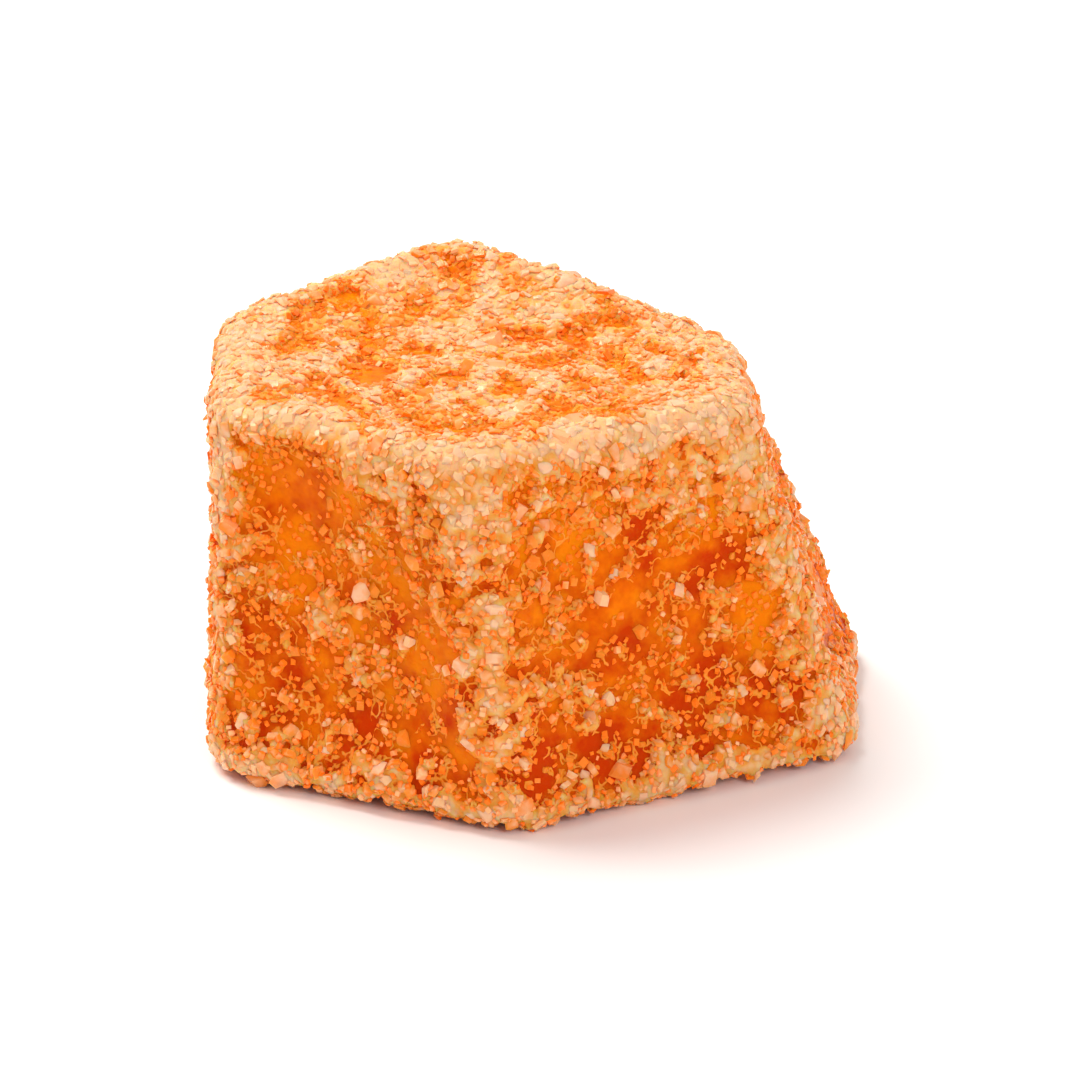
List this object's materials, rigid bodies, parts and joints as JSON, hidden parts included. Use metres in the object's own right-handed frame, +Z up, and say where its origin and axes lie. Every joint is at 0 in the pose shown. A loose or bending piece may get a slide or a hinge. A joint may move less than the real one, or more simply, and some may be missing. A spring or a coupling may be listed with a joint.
{
  "type": "sugared fruit jelly sweet",
  "caption": "Six-sided orange jelly sweet with rounded edges, wider at its base, coated all over in coarse sugar crystals.",
  "frame": {"origin": "bottom centre of the sweet, on the surface that it rests on", "axes": "+Z up; the front corner looks along -Y and the steeper side faces -X"},
  "size_m": [0.0193, 0.0203, 0.0115],
  "materials": {
    "sugared_jelly": "clear orange pectin jelly, soft and slightly glossy, under a coat of clear and white sugar crystals, fullest on the top and along the edges"
  },
  "bodies": {
    "root": {"jelly_sweet": "sugared_jelly"}
  },
  "joints": []
}
